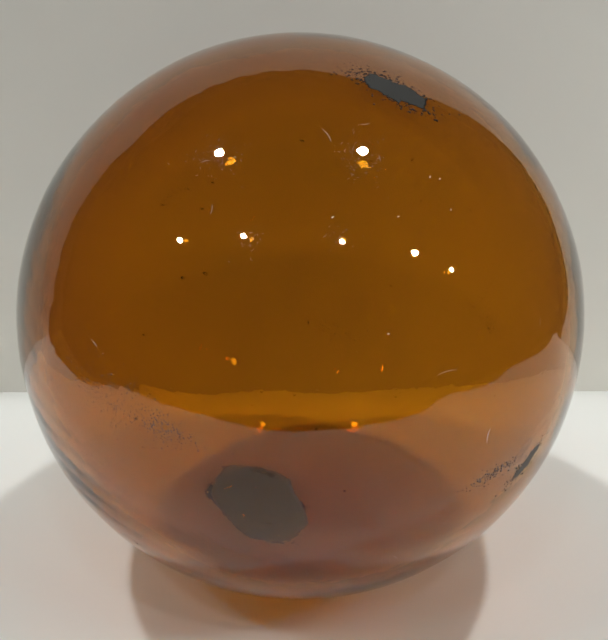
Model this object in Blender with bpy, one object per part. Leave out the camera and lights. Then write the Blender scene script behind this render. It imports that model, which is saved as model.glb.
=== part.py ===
"""Glass float ball: a blown ball of amber glass, closed by a button of the same glass, the seal.

Metres, +Z up, and -Y is the front. The origin is the middle of the flat spot that the ball rests on, straight
under its centre. The hollow is sealed for good, so the ball is one solid, with the seal grown out of it.
"""
import math

import bmesh
import bpy
from mathutils import Matrix, Vector

# The ball: its diameter, and the flat spot ground at the bottom, which keeps it from rolling.
BALL_DIAMETER = 0.127
FLAT_SPOT_DIAMETER = 0.016

# The seal: an oval button, pressed on while soft. Its face stands proud and is a little hollow in the middle,
# and its shoulder runs down into the ball over a band of its own width.
SEAL_LENGTH = 0.031
SEAL_WIDTH = 0.025
SEAL_HEIGHT = 0.0006
SEAL_DIP = 0.0002
SEAL_SHOULDER = 0.003

# The seal's place: how far it leans from straight down, towards which side, and where its long way points,
# both sides counted from +X towards +Y.
SEAL_TILT = math.radians(15)
SEAL_BEARING = math.radians(152)
SEAL_HEADING = math.radians(10)

# The mesh: faces around, rings of faces on the seal and on the rest of the ball, and how much closer together
# the ball's rings lie beside the seal than at the far side, from 0 for even rings up to 1.
FACES_AROUND = 72
SEAL_RINGS = 14
BALL_RINGS = 34
RING_CROWDING = 0.35

AMBER = (0.45, 0.17, 0.012, 1)
GLASS_ROUGHNESS = 0.04
GLASS_IOR = 1.52


def remove_everything():
    """Empty the scene, one object after another."""
    for obj in list(bpy.data.objects):
        bpy.data.objects.remove(obj, do_unlink=True)


def amber_glass():
    """Clear amber glass."""
    material = bpy.data.materials.new("amber_glass")
    material.use_nodes = True
    shader = material.node_tree.nodes["Principled BSDF"]
    shader.inputs["Base Color"].default_value = AMBER
    shader.inputs["Metallic"].default_value = 0
    shader.inputs["Roughness"].default_value = GLASS_ROUGHNESS
    shader.inputs["IOR"].default_value = GLASS_IOR
    shader.inputs["Transmission Weight"].default_value = 1
    return material


def smooth_step(share):
    """From 0 to 1, level at both ends."""
    share = min(max(share, 0), 1)
    return share * share * (3 - 2 * share)


def seal_reach(turn):
    """Distance from the seal's middle to its edge, in the direction at this turn from its long way: an ellipse."""
    long_half, short_half = SEAL_LENGTH / 2, SEAL_WIDTH / 2
    return long_half * short_half / math.hypot(short_half * math.cos(turn), long_half * math.sin(turn))


def seal_rise(share, reach):
    """How far the surface stands out of the ball, at this share of the way from the seal's middle to its edge."""
    face = SEAL_HEIGHT - SEAL_DIP * smooth_step(1 - share)
    return face * smooth_step((1 - share) * reach / min(SEAL_SHOULDER, reach))


def ball_point(ring, turn):
    """A point of the surface, with the seal's middle on +Z: rings 0 to SEAL_RINGS lie on the seal."""
    radius, reach = BALL_DIAMETER / 2, seal_reach(turn)
    edge_angle = reach / radius
    if ring <= SEAL_RINGS:
        share = ring / SEAL_RINGS
        angle, rise = share * edge_angle, seal_rise(share, reach)
    else:
        share = (ring - SEAL_RINGS) / BALL_RINGS
        eased = share * (1 - RING_CROWDING + RING_CROWDING * share)
        angle, rise = edge_angle + (math.pi - edge_angle) * eased, 0
    outward = Vector((math.sin(angle) * math.cos(turn), math.sin(angle) * math.sin(turn), math.cos(angle)))
    return outward * (radius + rise)


def ball_mesh():
    """A sphere of rings, each point then moved to its place on the seal or the ball."""
    rings = SEAL_RINGS + BALL_RINGS
    bm = bmesh.new()
    bmesh.ops.create_uvsphere(bm, u_segments=FACES_AROUND, v_segments=rings, radius=1)
    for vert in bm.verts:
        ring = round(rings * vert.co.angle(Vector((0, 0, 1))) / math.pi)
        vert.co = ball_point(ring, math.atan2(vert.co.y, vert.co.x))
    bmesh.ops.recalc_face_normals(bm, faces=bm.faces)
    mesh = bpy.data.meshes.new("glass_float_ball")
    bm.to_mesh(mesh)
    bm.free()
    mesh.shade_smooth()
    return mesh


def seal_frame():
    """Turns +Z to the seal's middle, as seen from the ball's centre, and +X to the seal's long way."""
    flat = math.sin(SEAL_TILT)
    outward = Vector((flat * math.cos(SEAL_BEARING), flat * math.sin(SEAL_BEARING), -math.cos(SEAL_TILT)))
    across = outward.cross(Vector((math.cos(SEAL_HEADING), math.sin(SEAL_HEADING), 0))).normalized()
    along = across.cross(outward)
    return Matrix((along, across, outward)).transposed().to_4x4()


def centre_height():
    """Height of the ball's centre over the flat spot."""
    return math.sqrt(BALL_DIAMETER ** 2 - FLAT_SPOT_DIAMETER ** 2) / 2


def flat_spot_cutter():
    """A block whose top is the plane of the flat spot."""
    bm = bmesh.new()
    bmesh.ops.create_cube(bm, size=BALL_DIAMETER)
    mesh = bpy.data.meshes.new("flat_spot_cutter")
    bm.to_mesh(mesh)
    bm.free()
    cutter = bpy.data.objects.new("flat_spot_cutter", mesh)
    cutter.location.z = -BALL_DIAMETER / 2
    cutter.hide_render = True
    cutter.display_type = "WIRE"
    bpy.context.collection.objects.link(cutter)
    return cutter


def glass_float_ball():
    """The ball with its seal, turned to the side it lies on and cut off at the flat spot."""
    mesh = ball_mesh()
    mesh.materials.append(amber_glass())
    ball = bpy.data.objects.new("glass_float_ball", mesh)
    ball.matrix_world = Matrix.Translation((0, 0, centre_height())) @ seal_frame()
    bpy.context.collection.objects.link(ball)
    cut = ball.modifiers.new("flat spot", "BOOLEAN")
    cut.operation = "DIFFERENCE"
    cut.solver = "EXACT"
    cut.object = flat_spot_cutter()
    return ball


remove_everything()
glass_float_ball()
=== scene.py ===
# %% [markdown]
# # A glass float ball
#
# A fishing float is a hollow ball of blown glass. This one is amber and five inches across. Its seal, the
# button of glass that closed the blowpipe's hole, is low on the ball, beside the spot that it lies on.
#
# Almost nothing in such a picture is paint. What the eye reads as "glass" is light that bends, bounces and
# loses its blue inside a real wall. So this lesson builds the wall: an outer skin, an inner skin and amber
# glass between them. The rest is small: waves, bubbles, scratches and old dirt, with some painted shade and
# painted glints among them, and a stage whose pale shape is mirrored in the ball.

# %% The frame
import math

import bpy
import numpy as np
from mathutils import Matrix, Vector


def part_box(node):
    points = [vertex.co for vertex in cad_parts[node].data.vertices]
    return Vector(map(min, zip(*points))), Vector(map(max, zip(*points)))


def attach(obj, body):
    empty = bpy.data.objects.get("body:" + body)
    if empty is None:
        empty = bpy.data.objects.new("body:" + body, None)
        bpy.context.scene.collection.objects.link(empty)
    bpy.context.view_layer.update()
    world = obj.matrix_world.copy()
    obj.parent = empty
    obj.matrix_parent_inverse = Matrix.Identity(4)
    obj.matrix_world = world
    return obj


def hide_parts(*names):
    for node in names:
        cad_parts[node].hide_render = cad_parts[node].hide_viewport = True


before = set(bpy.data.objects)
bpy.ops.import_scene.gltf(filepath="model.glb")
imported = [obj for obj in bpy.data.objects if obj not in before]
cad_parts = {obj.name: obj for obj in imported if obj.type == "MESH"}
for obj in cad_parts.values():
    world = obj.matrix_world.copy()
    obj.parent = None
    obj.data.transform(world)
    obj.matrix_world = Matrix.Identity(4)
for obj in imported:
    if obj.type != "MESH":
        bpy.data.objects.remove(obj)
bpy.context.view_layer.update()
MM = 0.001
NODE = "glass_float_ball"

# %% [markdown]
# ## Sizes from the frame
#
# The frame's box gives the ball's radius and the height of its centre. A solid can't tell how thick the wall
# is, so the wall has a value of its own. Just inside the ball's outline light turns back within the wall,
# which leaves a grey band as wide as the wall is thick. It is wider at the left than at the right, so the
# wall leans too.

# %% Sizes
low, high = (np.array(corner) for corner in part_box(NODE))
RADIUS = (high[0] - low[0]) / 2
CENTRE = np.array([0, 0, high[2] - RADIUS])
WALL = 3.4 * MM
WALL_LEAN = 0.5 * MM
print("radius", round(RADIUS / MM, 2), "mm, centre", (CENTRE / MM).round(2), "mm, wall", WALL / MM, "mm")

# %% [markdown]
# ## The camera
#
# The camera stands close, at two and three quarter radii from the ball's centre, and looks down by 21.5
# degrees. From so near, the outline of a ball isn't its widest circle but a smaller one, nearer to the
# camera. Seen along the axis, that outline has the radius f / sqrt(d^2 - 1) for a focal length f and a
# distance of d radii, so the outline's size in the picture gives the focal length.

# %% The camera
PICTURE = (608, 640)
OUTLINE_CENTRE = (301.0, 316.3)
OUTLINE_RADIUS = 284.9
SENSOR = 36.0
DISTANCE = 2.75 * RADIUS
LOOK_DOWN = math.radians(21.5)

focal_pixels = OUTLINE_RADIUS * math.sqrt((DISTANCE / RADIUS) ** 2 - 1)
camera_data = bpy.data.cameras.new("camera")
camera_data.sensor_width = SENSOR
camera_data.lens = SENSOR * focal_pixels / max(PICTURE)
camera_data.clip_start = 0.01
camera = bpy.data.objects.new("camera", camera_data)
bpy.context.collection.objects.link(camera)
bpy.context.scene.camera = camera

right = np.array([1.0, 0, 0])
forward = np.array([0, math.cos(LOOK_DOWN), -math.sin(LOOK_DOWN)])
upward = np.cross(right, forward)
viewpoint = CENTRE - DISTANCE * forward
aside = (OUTLINE_CENTRE[0] - PICTURE[0] / 2) / focal_pixels * DISTANCE
above = (PICTURE[1] / 2 - OUTLINE_CENTRE[1]) / focal_pixels * DISTANCE
aim = CENTRE - aside * right - above * upward
camera.location = viewpoint
camera.rotation_euler = Vector(aim - viewpoint).to_track_quat("-Z", "Y").to_euler()
print("focal length", round(camera_data.lens, 1), "mm, camera at", (viewpoint / MM).round(0), "mm")

# %% [markdown]
# ## The seal and its axes
#
# The glassmaker pressed a button of soft glass over the blowpipe's hole. It is an oval, low at the left and
# back of this ball. Three axes belong to it: "outward" points from the ball's centre through the seal's
# middle, "along" and "across" lie along the oval's long and short sides.

# %% The seal and its axes
SEAL_TILT = math.radians(15)
SEAL_BEARING = math.radians(152)
SEAL_HEADING = math.radians(10)
SEAL_LENGTH = 31 * MM
SEAL_WIDTH = 25 * MM
SEAL_HEIGHT = 0.6 * MM
SEAL_DIP = 0.2 * MM
SEAL_SHOULDER = 6 * MM

outward = np.array([
    math.sin(SEAL_TILT) * math.cos(SEAL_BEARING),
    math.sin(SEAL_TILT) * math.sin(SEAL_BEARING),
    -math.cos(SEAL_TILT),
])
across = np.cross(outward, [math.cos(SEAL_HEADING), math.sin(SEAL_HEADING), 0])
across /= np.linalg.norm(across)
along = np.cross(across, outward)


def seal_reach(turn):
    """Distance from the seal's middle to its edge in one direction: the polar form of an ellipse, the product
    of its half sides over the length of (half width x cosine, half length x sine)."""
    a, b = SEAL_LENGTH / 2, SEAL_WIDTH / 2
    return a * b / np.hypot(b * np.cos(turn), a * np.sin(turn))


def from_seal(unit):
    """For each unit vector: how far it is from the seal's middle, as a share of the way to the seal's edge,
    and that edge's distance. The distance on the ball is the angle from "outward" times the radius."""
    angle = np.arccos(np.clip(unit @ outward, -1, 1))
    reach = seal_reach(np.arctan2(unit @ across, unit @ along))
    return angle * RADIUS / reach, reach


def smooth_step(share):
    """Eases from 0 to 1 and is level at both ends: three squares less two cubes."""
    share = np.clip(share, 0, 1)
    return share * share * (3 - 2 * share)


print("the seal faces", outward.round(3))

# %% [markdown]
# ## A grid of directions
#
# A ball can be a sphere primitive, an icosphere or a grid of directions worked out in an array. The grid wins
# here, because each point then knows its direction, and every later shape is a sum of terms in that
# direction. The grid's pole is at the seal, so its rings lie along the oval's edge and can be close together
# there.

# %% A grid of directions
SEAL_ROWS = 0.14
CROWDING = 0.35
OUTER_GRID = (240, 300)
INNER_GRID = (150, 176)


def directions(rows, columns):
    """Unit vectors on rings around the seal. The first rings are shares of the oval, spaced evenly. The
    others run on to the far pole, and ease wider apart."""
    turn = np.linspace(0, 2 * np.pi, columns, endpoint=False)[None, :]
    step = np.linspace(0, 1, rows + 1)[:, None]
    edge = seal_reach(turn) / RADIUS
    on_ball = np.clip((step - SEAL_ROWS) / (1 - SEAL_ROWS), 0, 1)
    eased = on_ball * (1 - CROWDING + CROWDING * on_ball)
    angle = np.where(step <= SEAL_ROWS, step / SEAL_ROWS * edge, edge + (np.pi - edge) * eased)
    x = np.sin(angle) * np.cos(turn)
    y = np.sin(angle) * np.sin(turn)
    return x[..., None] * along + y[..., None] * across + np.cos(angle)[..., None] * outward


outer_grid = directions(*OUTER_GRID)
inner_grid = directions(*INNER_GRID)
print("outer grid", outer_grid.shape, "inner grid", inner_grid.shape)

# %% [markdown]
# ## The waves of blown glass
#
# Blown glass is never quite true. It cooled while it was turned, and kept long soft waves and short ripples,
# which bend every edge that it mirrors. A noise texture could push the surface about, but a sum of plane
# waves through space is smoother, has no seam, and its height and wavelength are plain sizes.
#
# The outer skin also has faint rings round the seal, left by the turning, which wander a little and fade in
# and out. Its mean radius is a little less than the solid's, to leave room for the waves' crests.

# %% The waves of blown glass
PRESSED = 7.5 * MM
PRESSED_REACH = 1.3
TURNING_MARK = 5 * MM
TURNING_DEPTH = 0.011 * MM
WANDER = 1.5
INSIDE_SOLID = 0.17 * MM


def waves(unit, seed, count, shortest, longest, height):
    """A sum of sines, each along a random direction through space and read on the ball. Wavelengths are
    spread evenly between two sizes. The root mean square of the sum is the height that is asked for."""
    rng = np.random.default_rng(seed)
    lengths = rng.uniform(shortest, longest, count)
    heading = rng.normal(size=(count, 3))
    heading /= np.linalg.norm(heading, axis=1, keepdims=True)
    phase = rng.uniform(0, 2 * np.pi, count)
    total = np.zeros(unit.shape[:-1])
    for length, way, start in zip(lengths, heading, phase):
        total += np.sin(2 * np.pi * RADIUS / length * (unit @ way) + start)
    return total * height * math.sqrt(2 / count)


def outer_surface(unit):
    """Centre + direction x (radius + seal + waves + rings - a small inset). The seal rises by a smooth step
    over its shoulder and dips a little in its middle. A flat spot keeps all of it at or above the floor."""
    share, reach = from_seal(unit)
    rise = SEAL_HEIGHT - SEAL_DIP * smooth_step(1 - share)
    rise = rise * smooth_step((1 - share) * reach / SEAL_SHOULDER)
    swell = waves(unit, 3, 24, 30 * MM, 90 * MM, 0.06 * MM)
    ripple = waves(unit, 4, 40, 10 * MM, 24 * MM, 0.016 * MM)
    ripple = ripple + waves(unit, 7, 48, 5 * MM, 9 * MM, 0.003 * MM)
    wander = waves(unit, 8, 16, 40 * MM, 90 * MM, 1)
    angle = np.arccos(np.clip(unit @ outward, -1, 1))
    rings = np.sin(2 * np.pi * RADIUS / TURNING_MARK * angle + WANDER * wander)
    shown = smooth_step(0.5 + 0.5 * waves(unit, 9, 16, 30 * MM, 60 * MM, 1))
    ripple = ripple + TURNING_DEPTH * rings * shown
    points = CENTRE + unit * (RADIUS + rise + swell + ripple - INSIDE_SOLID)[..., None]
    points[..., 2] = np.maximum(points[..., 2], 0)
    return points


def inner_surface(unit):
    """Centre + direction x (radius - wall). The wall is thicker towards the left by a cosine, and thicker
    over the seal, where the button was pressed on from outside. It is a little uneven everywhere."""
    share, _ = from_seal(unit)
    thinner = WALL_LEAN * unit[..., 0]
    pressed = PRESSED * smooth_step(PRESSED_REACH - share)
    uneven = waves(unit, 5, 24, 35 * MM, 90 * MM, 0.07 * MM)
    uneven = uneven + waves(unit, 6, 30, 9 * MM, 20 * MM, 0.008 * MM)
    return CENTRE + unit * (RADIUS - WALL + thinner - pressed - uneven)[..., None]


outer_points, inner_points = outer_surface(outer_grid), inner_surface(inner_grid)
print("outer radius", (np.linalg.norm(outer_points - CENTRE, axis=-1).max() / MM).round(2), "mm at most")
print("wall under the seal", ((RADIUS - np.linalg.norm(inner_points[0, 0] - CENTRE)) / MM).round(1), "mm")

# %% [markdown]
# ## From grids to one closed wall
#
# A grid becomes a closed skin when its first and last rows shrink to poles and its last column meets the
# first. The wall of a sealed ball is two such skins in one mesh. The outer skin faces out. The inner skin is
# turned round, so that it too faces away from the glass, into the hollow. The renderer reads those faces to
# tell where glass begins and ends.

# %% From grids to one closed wall
def skin(points, inward=False):
    """Vertices and faces of a closed skin. The first and last rows become one point each, then come fans of
    triangles round them and quads between. Reversing each face turns the skin inside out."""
    rows, columns = points.shape[0] - 1, points.shape[1]
    verts = np.concatenate([points[0, :1], points[1:-1].reshape(-1, 3), points[-1, :1]])
    ring = np.arange(columns)
    following = np.roll(ring, -1)
    base = 1 + columns * np.arange(rows - 2)[:, None]
    below = base + columns
    quads = np.stack([base + ring, below + ring, below + following, base + following], axis=-1)
    last = 1 + columns * (rows - 2)
    first_fan = np.stack([np.zeros_like(ring), 1 + ring, 1 + following], axis=-1)
    last_fan = np.stack([np.full_like(ring, len(verts) - 1), last + following, last + ring], axis=-1)
    faces = [quads.reshape(-1, 4), first_fan, last_fan]
    return verts, [face[:, ::-1] for face in faces] if inward else faces


def piece_from(name, skins, material):
    """One object from several skins, smooth, with its place in its mesh. It rides on the body and gets the
    given material."""
    verts, faces, offset = [], [], 0
    for skin_verts, skin_faces in skins:
        verts.append(skin_verts)
        for kind in skin_faces:
            faces += (kind + offset).tolist()
        offset += len(skin_verts)
    mesh = bpy.data.meshes.new(name)
    mesh.from_pydata(np.concatenate(verts).tolist(), [], faces)
    mesh.shade_smooth()
    mesh.materials.append(material)
    piece = bpy.data.objects.new(name, mesh)
    bpy.context.collection.objects.link(piece)
    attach(piece, "root")
    triangles = sum(len(face.vertices) - 2 for face in mesh.polygons)
    print(name, "-", len(verts), "skins,", len(mesh.vertices), "points,", triangles, "triangles")
    return piece


# %% [markdown]
# ## Amber glass
#
# Colour in glass can sit on its surface, as the tint of a glass shader, or in its depth, as a volume that
# absorbs. Only the second is deeper where the glass is thicker, as at the seal. But simple viewers of an
# exported model show only the first. So the amber is shared out: the surface tint gives a light honey colour,
# and the absorption takes out most of the blue and much of the green. Both are plain values on their own
# sockets.
#
# The small ripples and pits are too fine for a mesh, so two Bump nodes carry them. Noise makes the ripples.
# The pits come from Voronoi cells: a dent at the middle of each cell, its inner and outer radius a share of
# the cells' spacing. It is kept only where the cell's random colour is under a threshold.

# %% Amber glass
PIT_SPACING = 1.6 * MM
PIT_THRESHOLD = 0.3
PIT_DEPTH = 0.012 * MM
PIT_RADII = (0.05, 0.2)
RIPPLE_SIZE = 2.2 * MM
RIPPLE_DEPTH = 0.012 * MM
SURFACE_TINT = (0.88, 0.68, 0.36, 1)
DEPTH_COLOUR = (0.887, 0.757, 0.10, 1)
ABSORPTION = 680


def node_material(name):
    """A new node material, with its nodes, its links and its shader."""
    material = bpy.data.materials.new(name)
    material.use_nodes = True
    tree = material.node_tree
    return material, tree.nodes, tree.links, tree.nodes["Principled BSDF"]


def map_range(nodes, links, source, low, high, out_low, out_high):
    """A value carried smoothly from one range to another."""
    node = nodes.new("ShaderNodeMapRange")
    node.interpolation_type = "SMOOTHSTEP"
    for socket, value in zip(("From Min", "From Max", "To Min", "To Max"), (low, high, out_low, out_high)):
        node.inputs[socket].default_value = value
    links.new(source, node.inputs["Value"])
    return node.outputs["Result"]


def glass_shader(shader):
    """Plain values for smooth soda glass."""
    shader.inputs["Roughness"].default_value = 0.0
    shader.inputs["IOR"].default_value = 1.52
    shader.inputs["Transmission Weight"].default_value = 1.0


amber, nodes, links, shader = node_material("amber_glass")
glass_shader(shader)
shader.inputs["Base Color"].default_value = SURFACE_TINT
absorb = nodes.new("ShaderNodeVolumeAbsorption")
absorb.inputs["Color"].default_value = DEPTH_COLOUR
absorb.inputs["Density"].default_value = ABSORPTION
links.new(absorb.outputs["Volume"], nodes["Material Output"].inputs["Volume"])

place = nodes.new("ShaderNodeTexCoord")
cells = nodes.new("ShaderNodeTexVoronoi")
cells.inputs["Scale"].default_value = 1 / PIT_SPACING
links.new(place.outputs["Object"], cells.inputs["Vector"])
dent = map_range(nodes, links, cells.outputs["Distance"], *PIT_RADII, -1, 0)
chosen = nodes.new("ShaderNodeMath")
chosen.operation = "LESS_THAN"
chosen.inputs[1].default_value = PIT_THRESHOLD
links.new(cells.outputs["Color"], chosen.inputs[0])
pits = nodes.new("ShaderNodeMath")
pits.operation = "MULTIPLY"
links.new(dent, pits.inputs[0])
links.new(chosen.outputs["Value"], pits.inputs[1])
noise = nodes.new("ShaderNodeTexNoise")
noise.inputs["Scale"].default_value = 1 / RIPPLE_SIZE
noise.inputs["Detail"].default_value = 2
links.new(place.outputs["Object"], noise.inputs["Vector"])
ripple_bump = nodes.new("ShaderNodeBump")
ripple_bump.inputs["Distance"].default_value = RIPPLE_DEPTH
links.new(noise.outputs["Fac"], ripple_bump.inputs["Height"])
pit_bump = nodes.new("ShaderNodeBump")
pit_bump.inputs["Distance"].default_value = PIT_DEPTH
links.new(pits.outputs["Value"], pit_bump.inputs["Height"])
links.new(ripple_bump.outputs["Normal"], pit_bump.inputs["Normal"])
links.new(pit_bump.outputs["Normal"], shader.inputs["Normal"])
print("amber glass:", len(nodes), "nodes")

# %% The ball
ball = piece_from("ball", [skin(outer_points), skin(inner_points, inward=True)], amber)
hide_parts(NODE)

# %% [markdown]
# ## Bubbles
#
# Old glass is full of seeds, which are small bubbles. Turning and blowing drew many of them long. Each is a
# small skin that faces inward, as the hollow does. Its material is clear and has no volume, because the
# glass around it isn't in its mesh and must not be counted twice.

# %% Bubbles
BUBBLES = 90
BUBBLE_RADII = (0.07 * MM, 0.26 * MM)
BUBBLE_DEPTHS = (0.7, 2.4)  # in millimetres
LONGEST_BUBBLE = 2.2
MOST_LEAN = 0.4


def unit_vectors(rng, count):
    """Random directions, evenly spread: three normal numbers each, scaled to length one."""
    vectors = rng.normal(size=(count, 3))
    return vectors / np.linalg.norm(vectors, axis=1, keepdims=True)


def tangents(unit):
    """Two directions along the surface for each unit vector: level, to the right as seen from outside, and
    up."""
    level = np.cross([0, 0, 1.0], unit)
    level = level / np.linalg.norm(level, axis=-1, keepdims=True)
    return level, np.cross(unit, level)


def bubble(middle, radius, stretch, axis):
    """A small sphere, longer along one axis: middle + radius x direction, with the part along the axis
    stretched."""
    turn = np.linspace(0, 2 * np.pi, 12, endpoint=False)[None, :]
    angle = np.linspace(0, np.pi, 9)[:, None]
    unit = np.stack(np.broadcast_arrays(np.sin(angle) * np.cos(turn), np.sin(angle) * np.sin(turn),
                                        np.cos(angle)), axis=-1)
    return middle + radius * (unit + (stretch - 1) * (unit @ axis)[..., None] * axis)


rng = np.random.default_rng(11)
unit = unit_vectors(rng, BUBBLES)
radii = BUBBLE_RADII[0] + (BUBBLE_RADII[1] - BUBBLE_RADII[0]) * rng.random(BUBBLES) ** 2
depth = rng.uniform(*BUBBLE_DEPTHS, BUBBLES) * MM
stretch = rng.uniform(1, LONGEST_BUBBLE, BUBBLES)
level, rising = tangents(unit)
lean = rng.uniform(-MOST_LEAN, MOST_LEAN, BUBBLES)[:, None]
axes = level * np.cos(lean) + rising * np.sin(lean)
middles = CENTRE + unit * (RADIUS - depth)[:, None]

clear, nodes, links, shader = node_material("bubble")
glass_shader(shader)
shader.inputs["Base Color"].default_value = (1, 1, 1, 1)
piece_from("bubbles", [
    skin(bubble(*values), inward=True) for values in zip(middles, radii, stretch, axes)
], clear)

# %% [markdown]
# ## Old dirt
#
# The float has dark specks baked on, thick in a few patches and thin all over, and here and there they have
# run together. A mask in the glass's material could draw them, but glass plus a mask of something else is
# hard to export and blurs at the edges. Real flecks are simple: a dome with a ragged outline that follows the
# glass, less than a tenth of a millimetre high. Flecks and films of one colour are one piece.
#
# A patch is written as a person would describe it: where it is on the ball, how long and wide, how it slants,
# how many flecks, and how big they are. Its place is two angles.

# %% Places on the ball
SPREADS_TO_EDGE = 1.6


def on_ball(bearing, height):
    """A unit vector from two angles in degrees: bearing to the right of the front, and height above level."""
    bearing, height = np.radians(bearing), np.radians(height)
    return np.stack(np.broadcast_arrays(np.sin(bearing) * np.cos(height), -np.cos(bearing) * np.cos(height),
                                        np.sin(height)), axis=-1)


def scatter(rng, bearing, height, half_length, half_width, slant, count):
    """Directions in an oval patch. Both distances are normal numbers, and a half side is their spread times
    SPREADS_TO_EDGE. The oval is turned by its slant."""
    middle = on_ball(bearing, height)
    level, rising = tangents(middle)
    tilt = math.radians(slant)
    half_sides = np.array([half_length, half_width])[:, None, None]
    u, v = rng.normal(size=(2, count, 1)) / SPREADS_TO_EDGE * half_sides / RADIUS
    unit = middle + u * (level * math.cos(tilt) + rising * math.sin(tilt))
    unit = unit + v * (rising * math.cos(tilt) - level * math.sin(tilt))
    return unit / np.linalg.norm(unit, axis=1, keepdims=True)


print("straight in front is", on_ball(0, 0).round(3), "- the top is", on_ball(0, 90).round(3))

# %% [markdown]
# ## Flecks
#
# A fleck could be a flat disc, but a disc has no thickness and vanishes edge on. A dome has a top point, and
# a ring of outline points and one point beneath, all sunk just under the surface. So it is closed, and it
# stands off the glass a little.

# %% Flecks
SINK = 0.01 * MM
FLECK_SIDES = 6
FLECK_HEIGHT = 0.25
RAGGED = (0.55, 1.25)


def domes(unit, reach, lift):
    """Small domes with ragged outlines. Each has its middle at a unit vector and its outline at a reach for
    each spoke. The top stands off the glass by its lift. The outline and a point under the middle are sunk
    in it."""
    count, spokes = reach.shape
    turn = np.linspace(0, 2 * np.pi, spokes, endpoint=False)[:, None]
    level, rising = tangents(unit)
    way = np.cos(turn) * level[:, None] + np.sin(turn) * rising[:, None]
    around = unit[:, None] + reach[..., None] / RADIUS * way
    units = np.concatenate([unit[:, None], around, unit[:, None]], axis=1)
    units /= np.linalg.norm(units, axis=-1, keepdims=True)
    stand_off = np.full((count, spokes + 2), -SINK)
    stand_off[:, 0] = lift
    verts = outer_surface(units) + stand_off[..., None] * units
    verts[..., 2] = np.maximum(verts[..., 2], 0)
    ring = np.arange(1, spokes + 1)
    following = np.roll(ring, -1)
    top = np.stack([np.zeros_like(ring), ring, following], axis=-1)
    under = np.stack([np.full_like(ring, spokes + 1), following, ring], axis=-1)
    step = (spokes + 2) * np.arange(count)[:, None, None]
    return verts.reshape(-1, 3), [(np.concatenate([top, under])[None] + step).reshape(-1, 3)]


def flecks(rng, unit, smallest, largest):
    """Six-sided domes of mixed sizes, more of them small, each side's reach a random share of the size."""
    size = smallest + (largest - smallest) * rng.random((len(unit), 1)) ** 2
    reach = size * rng.uniform(*RAGGED, (len(unit), FLECK_SIDES))
    return domes(unit, reach, FLECK_HEIGHT * size[:, 0])


print("each fleck has a top, and", FLECK_SIDES + 1, "points that are sunk by", round(SINK / MM, 3), "mm")

# %% [markdown]
# ## Films
#
# Where the dirt has run together it is a film, not flecks, and over the seal a film is painted shade. Many
# flecks would do it, but they overlap and take thousands of faces. A film is one thin skin: out over the
# glass to a ragged oval edge, then back beneath it. At the flat spot its two sides keep different heights
# above the floor, so that they don't cross.

# %% Films
FILM_RINGS = 12
EDGE_TURNS = 120
EDGE_BUMPS = np.array([2, 3, 5, 8, 13, 21])


def film(middle, first, second, reach, thickness):
    """A thin closed layer on the glass. It runs out over the outer side to its edge, then back beneath, sunk
    in the glass. "first" and "second" are its two directions along the surface, "reach" the edge for each
    turn. Its height is thickness x sqrt(1 - share of the way out^2)."""
    turn = np.linspace(0, 2 * np.pi, len(reach), endpoint=False)[:, None]
    way = np.cos(turn) * first + np.sin(turn) * second
    share = np.linspace(0, 1, FILM_RINGS)
    share = np.concatenate([share, share[-2::-1]])[:, None, None]
    angle = share * reach[None, :, None] / RADIUS
    units = np.cos(angle) * middle + np.sin(angle) * way
    stand_off = np.full(share.shape, -SINK)
    stand_off[:FILM_RINGS] = thickness * np.sqrt(1 - share[:FILM_RINGS] ** 2)
    points = outer_surface(units) + stand_off * units
    lowest = np.where(stand_off[..., 0] < 0, 3 * SINK, 0.5 * SINK)
    points[..., 2] = np.maximum(points[..., 2], lowest)
    return skin(points)


def ragged_oval(half_length, half_width, seed, roughness):
    """The edge of an oval patch for each turn: the polar form of an ellipse, times one plus a few sines with
    random starts, each weaker than the one before."""
    rng = np.random.default_rng(seed)
    turn = np.linspace(0, 2 * np.pi, EDGE_TURNS, endpoint=False)
    edge = half_length * half_width / np.hypot(half_width * np.cos(turn), half_length * np.sin(turn))
    start = rng.uniform(0, 2 * np.pi, len(EDGE_BUMPS))
    sines = np.sin(EDGE_BUMPS * turn[:, None] + start) / np.sqrt(EDGE_BUMPS)
    return edge * (1 + roughness * sines.sum(axis=1))


def ragged_film(bearing, height, half_length, half_width, slant, seed, thickness, roughness):
    """A film in a ragged oval, at two angles in degrees and turned by its slant."""
    middle = on_ball(bearing, height)
    level, rising = tangents(middle)
    tilt = math.radians(slant)
    first = level * math.cos(tilt) + rising * math.sin(tilt)
    second = rising * math.cos(tilt) - level * math.sin(tilt)
    edge = ragged_oval(half_length, half_width, seed, roughness)
    return film(middle, first, second, edge, thickness)


print("a film has", 2 * FILM_RINGS - 3, "rings of", EDGE_TURNS, "points between its two middles")
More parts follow.
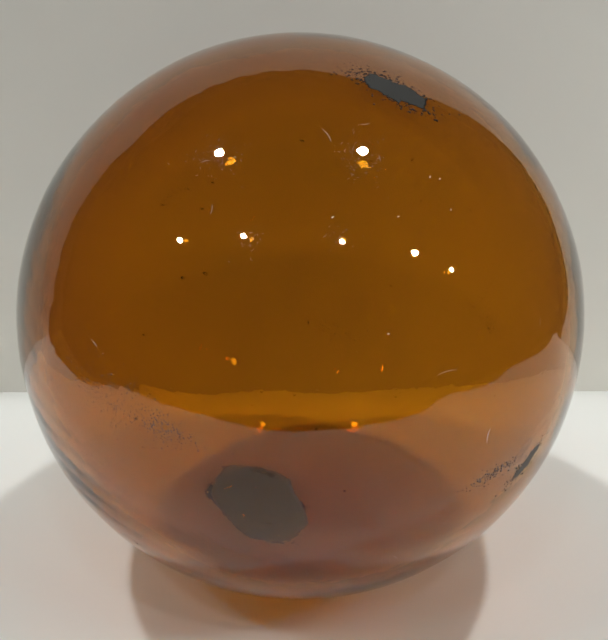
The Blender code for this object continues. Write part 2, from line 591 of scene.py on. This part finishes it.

# %% [markdown]
# ## Where the dirt is
#
# There are two streaks at the right, a broad thin smudge at the left, a patch at the seal and a few more
# round the back. Specks lie thinly everywhere else. A film fills the middle of the thickest streak. A larger
# one darkens the seal. That film and the patch of flecks at the seal are painted shade: they stand for the
# shade where the seal meets the floor and for the darkening by its thick glass. The film lies a little to
# the front of the seal, because refraction shifts what the picture shows.
#
# The dark patch near the top is darker and duller than the rest, so it is a piece of its own: a film with
# many flecks on and round it, which soften its edge.

# %% Dark flecks and films
DIRT_AND_PAINTED_SHADE = [
    # bearing, height, half length, half width, slant, count, smallest, largest
    (42.3, -9.9, 5.2, 1.6, 40, 300, 0.12, 0.34),
    (33.0, -8.2, 5.2, 1.3, 10, 260, 0.08, 0.28),
    (25.0, -9.5, 4.0, 1.5, 0, 40, 0.05, 0.12),
    (48.0, -5.0, 5.0, 2.5, 45, 60, 0.05, 0.12),
    (49.5, -0.5, 5.0, 2.5, 10, 45, 0.06, 0.16),
    (-29.0, 5.6, 10.0, 4.2, -17, 620, 0.05, 0.16),
    (-20.5, 3.2, 5.0, 2.2, -14, 260, 0.06, 0.18),
    (-37.0, 8.0, 5.0, 2.0, -30, 60, 0.05, 0.15),
    (-35.0, -3.0, 8.0, 6.0, 0, 60, 0.04, 0.12),
    (-34.8, -27.8, 0.1, 0.1, 0, 1, 0.35, 0.36),
    # painted shade: these flecks soften the edge of the film that darkens the seal
    (-100.0, -78.0, 19.0, 15.0, -40, 420, 0.06, 0.20),
    (120.0, -12.0, 8.0, 2.5, 20, 220, 0.05, 0.22),
    (-140.0, 20.0, 6.0, 2.0, -35, 160, 0.05, 0.25),
    (170.0, -25.0, 10.0, 3.0, 10, 200, 0.05, 0.20),
]
FILMS = [
    # bearing, height, half length, half width, slant, seed, thickness, roughness
    (42.3, -9.9, 4.6, 1.2, 40, 31, 0.05, 0.1),
    # painted shade: this film darkens the seal, for the shade where it meets the floor
    (-100, -78.2, 15.6, 12.4, -40, 33, 0.03, 0.025),
]
SPRINKLED = 700
SPRINKLED_SIZES = (0.03 * MM, 0.09 * MM)
SPRINKLED_ABOVE = -0.96

rng = np.random.default_rng(21)
dark = []
for bearing, height, half_length, half_width, slant, count, smallest, largest in DIRT_AND_PAINTED_SHADE:
    unit = scatter(rng, bearing, height, half_length * MM, half_width * MM, slant, count)
    dark.append(flecks(rng, unit, smallest * MM, largest * MM))
everywhere = unit_vectors(rng, SPRINKLED)
everywhere = everywhere[everywhere[:, 2] > SPRINKLED_ABOVE]
dark.append(flecks(rng, everywhere, *SPRINKLED_SIZES))
for bearing, height, half_length, half_width, slant, seed, thickness, roughness in FILMS:
    half_sides = (half_length * MM, half_width * MM)
    dark.append(ragged_film(bearing, height, *half_sides, slant, seed, thickness * MM, roughness))

# one colour for real dirt and for the painted shade over the seal
grime_and_painted_shade, nodes, links, shader = node_material("grime_and_painted_shade")
shader.inputs["Base Color"].default_value = (0.13, 0.12, 0.10, 1)
shader.inputs["Roughness"].default_value = 0.8
piece_from("dirt_and_painted_shade", dark, grime_and_painted_shade)

# %% The dark patch near the top
TOP_PATCH = (29.9, 58.2)
TOP_PATCH_SLANT = -50
TOP_PATCH_FILM = (6.2 * MM, 2.9 * MM)
TOP_PATCH_SCATTER = (6.4 * MM, 3.2 * MM)
TOP_PATCH_FLECKS = 1100
TOP_PATCH_SIZES = (0.06 * MM, 0.36 * MM)

rng = np.random.default_rng(61)
around = scatter(rng, *TOP_PATCH, *TOP_PATCH_SCATTER, TOP_PATCH_SLANT, TOP_PATCH_FLECKS)
top_patch = [
    ragged_film(*TOP_PATCH, *TOP_PATCH_FILM, TOP_PATCH_SLANT, 34, 0.05 * MM, 0.14),
    flecks(rng, around, *TOP_PATCH_SIZES),
]
dark_matte, nodes, links, shader = node_material("dark_matte")
shader.inputs["Base Color"].default_value = (0.045, 0.045, 0.041, 1)
shader.inputs["Roughness"].default_value = 0.9
shader.inputs["Specular IOR Level"].default_value = 0.05
piece_from("top_patch", top_patch, dark_matte)

# %% [markdown]
# ## Pale dust, scratches and painted glints
#
# Under the ball the glass is scuffed from years of lying, and the scuffs hold pale dust. Scratches catch the
# light as short bright hairs. Both could be lighter lines in a roughness map, but a viewer that knows no such
# map loses them. So the dust is flecks again, in a pale colour. A scratch is a spindle: a thin closed shape
# with a diamond cross-section that runs to a point at both ends. Its pale colour is partly the scuffed
# glass's own and partly painted highlight, for the light that it catches. Some are placed one by one, some
# lie anywhere, and the finest are crowded where four of the lamps are mirrored, because fine scuffs show
# there: these are painted glints round the highlights. The short wide dots among those placed one by one
# are painted glints too.

# %% Pale dust
DUST = [
    # bearing, height, half length, half width, slant, count, smallest, largest
    (-75, -78, 9.0, 6.0, 20, 260, 0.04, 0.11),
    (5, -76, 18.0, 5.0, 0, 420, 0.03, 0.09),
    (80, -68.5, 4.5, 2.0, 20, 170, 0.05, 0.15),
    (40, 12, 16.0, 12.0, 0, 60, 0.03, 0.07),
    (-60, 40, 16.0, 12.0, 0, 60, 0.03, 0.07),
    (150, 10, 20.0, 16.0, 0, 80, 0.03, 0.08),
]
rng = np.random.default_rng(41)
pale = []
for bearing, height, half_length, half_width, slant, count, smallest, largest in DUST:
    unit = scatter(rng, bearing, height, half_length * MM, half_width * MM, slant, count)
    pale.append(flecks(rng, unit, smallest * MM, largest * MM))

dust, nodes, links, shader = node_material("dust")
shader.inputs["Base Color"].default_value = (0.60, 0.55, 0.46, 1)
shader.inputs["Roughness"].default_value = 0.9
piece_from("dust", pale, dust)


# %% Scratches and painted glints
def scratch(unit, heading, length, bend, width):
    """A spindle on the glass. Its middle line runs both ways from a point, and bends aside by the square of
    the way. Its half width is greatest in the middle: width x (1 - way^2) / 2."""
    level, rising = tangents(unit)
    ahead = math.cos(heading) * level + math.sin(heading) * rising
    side = np.cross(ahead, unit)
    way = np.linspace(-1, 1, 13)[:, None]
    turn = np.array([0, 0.5, 1, 1.5]) * np.pi
    half = width / 2 * (1 - way ** 2)
    aside = bend * way ** 2 + half * np.cos(turn)
    units = unit + (length / 2 * way[..., None] * ahead + aside[..., None] * side) / RADIUS
    units /= np.linalg.norm(units, axis=-1, keepdims=True)
    return skin(outer_surface(units) + (0.4 * half * np.sin(turn))[..., None] * units)


SCRATCHES_AND_PAINTED_GLINTS = [
    # bearing, height, heading in degrees, length, bend, width
    # a bright curved scratch: its pale colour paints the glint along it
    (29.9, -0.2, 80, 3.0, 0.35, 0.20),
    (6.1, 49.2, -65, 3.2, 0.30, 0.06),
    (15.4, 51.0, 0, 2.0, -0.2, 0.05),
    # painted glints: these six short dots stand for bright points of light
    (5.5, 35.5, 30, 0.5, 0.0, 0.20),
    (17.3, 35.1, 10, 0.5, 0.0, 0.18),
    (26.3, 40.9, 50, 0.5, 0.0, 0.18),
    (28.4, 40.4, 20, 0.4, 0.0, 0.18),
    (28.3, 35.3, 70, 0.5, 0.0, 0.16),
    (13.0, 18.5, 0, 0.5, 0.0, 0.16),
    (-34.0, 14.0, -35, 2.4, 0.2, 0.05),
    (-20.0, 44.0, 20, 2.2, 0.3, 0.05),
    (22.0, 12.0, 5, 4.0, 0.3, 0.05),
]
# painted glints: fine pale scuffs crowded round four mirrored lamps stand for the glints there
SCUFFS_AND_PAINTED_GLINTS = [
    # bearing, height, half size, count
    (-16.6, 44.7, 4.0, 70),
    (12.8, 44.7, 4.0, 90),
    (-8.7, 32.0, 2.5, 30),
    (6.4, 31.9, 2.0, 20),
]
RANDOM_SCRATCHES = 40
MOST_BEND = 0.1  # as a share of the length
RANDOM_LENGTHS = (0.4, 2.2)  # these four in millimetres
RANDOM_WIDTHS = (0.02, 0.05)
SCUFF_LENGTHS = (0.15, 0.7)
SCUFF_WIDTHS = (0.015, 0.04)
rng = np.random.default_rng(51)
hairs = [
    scratch(on_ball(bearing, height), math.radians(heading), length * MM, bend * MM, width * MM)
    for bearing, height, heading, length, bend, width in SCRATCHES_AND_PAINTED_GLINTS
]
unit = unit_vectors(rng, RANDOM_SCRATCHES)
heading = rng.uniform(0, np.pi, RANDOM_SCRATCHES)
length = rng.uniform(*RANDOM_LENGTHS, RANDOM_SCRATCHES) * MM
bend = rng.uniform(-MOST_BEND, MOST_BEND, RANDOM_SCRATCHES) * length
width = rng.uniform(*RANDOM_WIDTHS, RANDOM_SCRATCHES) * MM
hairs += [scratch(*values) for values in zip(unit, heading, length, bend, width)]
for bearing, height, half_size, count in SCUFFS_AND_PAINTED_GLINTS:
    unit = scatter(rng, bearing, height, half_size * MM, half_size * MM, 0, count)
    heading = rng.uniform(0, np.pi, count)
    length = rng.uniform(*SCUFF_LENGTHS, count) * MM
    width = rng.uniform(*SCUFF_WIDTHS, count) * MM
    hairs += [scratch(*values) for values in zip(unit, heading, length, MOST_BEND * length, width)]

# the pale colour is partly the scuffs' own and partly painted highlight for the light they catch
scratch_and_glint_white, nodes, links, shader = node_material("scratch_and_glint_white")
shader.inputs["Base Color"].default_value = (0.85, 0.82, 0.74, 1)
shader.inputs["Roughness"].default_value = 0.4
piece_from("scratches_and_painted_glints", hairs, scratch_and_glint_white)

# %% [markdown]
# ## The stage
#
# Glass shows what stands around it, so the floor and the backdrop are half of the ball's looks. The pale
# shape mirrored in the ball is the backdrop, and the outline of that sheet decides where the mirrored edge
# runs. Beyond it the room is dark.
#
# One curved sheet would hide the corner between floor and backdrop. But that line shows through the ball, and
# tells the eye that the glass is clear, so here two flat sheets meet. The backdrop is see-through from
# behind, for a camera that goes round the ball.

# %% Plain sheets
def matte(name, colour):
    """A dull pale material."""
    material, nodes, links, shader = node_material(name)
    shader.inputs["Base Color"].default_value = colour
    shader.inputs["Roughness"].default_value = 0.9
    shader.inputs["Specular IOR Level"].default_value = 0.1
    return material


def flat(name, corners, material):
    """One flat face with these corners."""
    mesh = bpy.data.meshes.new(name)
    mesh.from_pydata(corners, [], [list(range(len(corners)))])
    mesh.materials.append(material)
    sheet = bpy.data.objects.new(name, mesh)
    bpy.context.collection.objects.link(sheet)
    return sheet


# %% The floor
BACK = 1.3
UNDER_FLAT = 0.02 * MM
FLOOR_OUTLINE = [(-4.6, -2.6), (-2.2, -3.8), (4.5, -3.8), (6.0, -1.5), (6.5, BACK), (-7.0, BACK),
                 (-4.4, -0.9)]
floor_material = matte("pale_floor", (0.79, 0.80, 0.76, 1))
corners = [(x * RADIUS, y * RADIUS, -UNDER_FLAT) for x, y in FLOOR_OUTLINE]
floor = flat("floor", corners, floor_material)
print("the floor lies", UNDER_FLAT / MM, "mm under the flat spot, so that the two don't fight")

# %% The backdrop
BACKDROP_OUTLINE = [(-7.0, 0), (5.2, 0), (4.2, 0.5), (3.4, 1.0), (2.9, 1.6), (2.3, 2.25), (2.0, 3.0),
                    (1.75, 3.6), (1.4, 4.2), (-3.4, 4.2), (-7.0, 1.0)]
backdrop_material = matte("pale_backdrop", (0.74, 0.72, 0.65, 1))
tree = backdrop_material.node_tree
mix = tree.nodes.new("ShaderNodeMixShader")
clear = tree.nodes.new("ShaderNodeBsdfTransparent")
geometry = tree.nodes.new("ShaderNodeNewGeometry")
tree.links.new(geometry.outputs["Backfacing"], mix.inputs["Fac"])
tree.links.new(tree.nodes["Principled BSDF"].outputs["BSDF"], mix.inputs[1])
tree.links.new(clear.outputs["BSDF"], mix.inputs[2])
tree.links.new(mix.outputs["Shader"], tree.nodes["Material Output"].inputs["Surface"])
corners = [(x * RADIUS, BACK * RADIUS, z * RADIUS) for x, z in BACKDROP_OUTLINE]
backdrop = flat("backdrop", corners, backdrop_material)
behind = round(BACK * RADIUS / MM, 1)
print("the backdrop has", len(corners), "corners and stands", behind, "mm behind the middle")

# %% [markdown]
# ## Light
#
# Seven lamps are mirrored in the ball: two bigger ones overhead and five small ones in front. Each
# highlight's place gives its lamp's direction, because the normal there halves the angle between the eye and
# the lamp.
#
# Light that is focused through curved glass is slow to trace and leaves bright specks. So each lamp is made
# of parts. A mirror lamp shows only in mirrors and glass. A key lamp lights dull things and casts the shadow.
# With each big lamp comes an amber spot, as wide as the ball and linked to the stage alone, which adds the
# light that came through the glass.
#
# The parts needn't agree. The mirror lamps are several times brighter than the keys, to make the glints that
# have been through amber glass more yellow and less orange. The keys are drawn together and moved back, which
# puts the shadow where it should be. Last, a wash lights the backdrop alone, and the ball doesn't stand in
# its way.

# %% Lamps of several kinds
def aimed(name, data, towards, distance):
    """A light at this distance from the ball's centre, turned to face it."""
    light = bpy.data.objects.new(name, data)
    way = np.array(towards) / np.linalg.norm(towards)
    light.location = CENTRE + way * distance
    light.rotation_euler = Vector(-way).to_track_quat("-Z", "Y").to_euler()
    light.visible_camera = False
    bpy.context.collection.objects.link(light)
    return light


def disc_light(name, towards, distance, radius, radiance):
    """A round lamp. Its power is radiance x area x pi."""
    data = bpy.data.lights.new(name, "AREA")
    data.shape = "DISK"
    data.size = 2 * radius
    data.energy = radiance * math.pi * radius ** 2 * math.pi
    return aimed(name, data, towards, distance)


def collection_of(name, things):
    """A collection outside the scene, for light linking."""
    group = bpy.data.collections.new(name)
    for thing in things:
        group.objects.link(thing)
    return group


def before_any_diffuse(tree):
    """One for light that reached the eye by mirrors and glass alone, nought after a dull surface."""
    path = tree.nodes.new("ShaderNodeLightPath")
    direct = tree.nodes.new("ShaderNodeMath")
    direct.operation = "LESS_THAN"
    direct.inputs[1].default_value = 0.5
    tree.links.new(path.outputs["Diffuse Depth"], direct.inputs[0])
    return direct.outputs["Value"]


# %% The lamps
LAMP_DISTANCE = 1.5
BEHIND_LAMPS = 1.55
THROUGH_GLASS = (0.35, 0.105, 0.003)
BIG, SMALL = 0.042, 0.022
KEY_SHIFT = 0.12
KEY_SPREAD = {BIG: 0.9, SMALL: 0.65}
MIRROR_BOOST = 5
WASH_FROM = (0.65, -0.55, 0.5)
WASH_DISTANCE = 1.2
WASH_RADIUS = 0.2
WASH_RADIANCE = 13
LAMPS = {
    # direction from the ball's centre, radius, light on a sheet that faces the lamp
    "a": ((-0.411, -0.059, 0.909), BIG, 1.05),
    "b": ((0.328, -0.100, 0.939), BIG, 1.05),
    "c": ((-0.660, -0.424, 0.620), SMALL, 0.20),
    "d": ((-0.319, -0.600, 0.734), SMALL, 0.20),
    "e": ((0.232, -0.633, 0.738), SMALL, 0.20),
    "f": ((0.627, -0.510, 0.589), SMALL, 0.20),
    "g": ((0.802, -0.406, 0.437), SMALL, 0.20),
}
stage_only = collection_of("stage_only", [floor, backdrop])
for name, (towards, radius, irradiance) in LAMPS.items():
    radiance = MIRROR_BOOST * irradiance * LAMP_DISTANCE ** 2 / (math.pi * radius ** 2)
    lamp = disc_light("lamp_" + name, towards, LAMP_DISTANCE, radius, radiance)
    lamp.visible_diffuse = False
    lamp.data.use_nodes = True
    tree = lamp.data.node_tree
    direct = before_any_diffuse(tree)
    tree.links.new(direct, tree.nodes["Emission"].inputs["Strength"])

    shadow_from = (KEY_SPREAD[radius] * towards[0], towards[1] + KEY_SHIFT, towards[2])
    radiance = irradiance * BEHIND_LAMPS ** 2 / (math.pi * radius ** 2)
    lights = [disc_light("key_" + name, shadow_from, BEHIND_LAMPS, radius, radiance)]
    if radius == BIG:
        data = bpy.data.lights.new("amber_" + name, "SPOT")
        data.energy = irradiance * 4 * math.pi * BEHIND_LAMPS ** 2
        data.color = THROUGH_GLASS
        data.spot_size = 2 * math.asin(RADIUS / BEHIND_LAMPS)
        data.spot_blend = 0.1
        data.shadow_soft_size = radius
        spot = aimed("amber_" + name, data, shadow_from, BEHIND_LAMPS)
        spot.light_linking.receiver_collection = stage_only
        spot.light_linking.blocker_collection = stage_only
        lights.append(spot)
    for light in lights:
        light.visible_glossy = False
        light.visible_transmission = False

wash = disc_light("backdrop_wash", WASH_FROM, WASH_DISTANCE, WASH_RADIUS, WASH_RADIANCE)
backdrop_only = collection_of("backdrop_only", [backdrop])
wash.light_linking.receiver_collection = backdrop_only
wash.light_linking.blocker_collection = backdrop_only
wash.visible_glossy = False
wash.visible_transmission = False

print(len(LAMPS), "lamps, and a wash for the backdrop")

# %% [markdown]
# ## The room beyond, and the picture
#
# Past the stage a ray meets the world. One plain grey would do for the camera, but mirrored in the ball it
# would veil the amber. So the world is a different brightness for each kind of ray: pale for the camera,
# nearly black in mirrors and for dull surfaces, and dim where it shows through the glass, dimmer below than
# above.
#
# Sixteen bounces are enough for light that enters the wall, runs along it and comes out.

# %% The room beyond
AMBIENT = 0.015
MIRRORED_ROOM = 0.05
ROOM_BELOW, ROOM_ABOVE = 0.3, 0.5
HORIZON = (-0.05, 0.25)
STRENGTHS = {"Is Diffuse Ray": AMBIENT, "Is Glossy Ray": MIRRORED_ROOM, "Is Transmission Ray": 1}

world = bpy.data.worlds.new("world")
bpy.context.scene.world = world
world.use_nodes = True
tree = world.node_tree
sky = tree.nodes["Background"]
sky.inputs["Color"].default_value = (0.62, 0.61, 0.58, 1)
result = sky.outputs["Background"]
path = tree.nodes.new("ShaderNodeLightPath")
for kind, strength in STRENGTHS.items():
    background = tree.nodes.new("ShaderNodeBackground")
    background.inputs["Color"].default_value = (1, 0.97, 0.92, 1)
    background.inputs["Strength"].default_value = strength
    mix = tree.nodes.new("ShaderNodeMixShader")
    tree.links.new(path.outputs[kind], mix.inputs["Fac"])
    tree.links.new(result, mix.inputs[1])
    tree.links.new(background.outputs["Background"], mix.inputs[2])
    result = mix.outputs["Shader"]
tree.links.new(result, tree.nodes["World Output"].inputs["Surface"])

# the last background, for light through glass, has its strength by height
coords = tree.nodes.new("ShaderNodeTexCoord")
split = tree.nodes.new("ShaderNodeSeparateXYZ")
tree.links.new(coords.outputs["Generated"], split.inputs["Vector"])
by_height = map_range(tree.nodes, tree.links, split.outputs["Z"], *HORIZON, ROOM_BELOW, ROOM_ABOVE)
through_glass = tree.nodes.new("ShaderNodeMath")
through_glass.operation = "MULTIPLY"
tree.links.new(by_height, through_glass.inputs[0])
tree.links.new(before_any_diffuse(tree), through_glass.inputs[1])
tree.links.new(through_glass.outputs["Value"], background.inputs["Strength"])
print("the world has", len(tree.nodes), "nodes")

# %% The picture
BOUNCES = 16
GLOSSY_BOUNCES = 12
scene = bpy.context.scene
scene.view_settings.view_transform = "Standard"
scene.cycles.max_bounces = BOUNCES
scene.cycles.transmission_bounces = BOUNCES
scene.cycles.glossy_bounces = GLOSSY_BOUNCES
scene.cycles.use_denoising = True
print("at most", BOUNCES, "bounces, of which", GLOSSY_BOUNCES, "off mirrors")
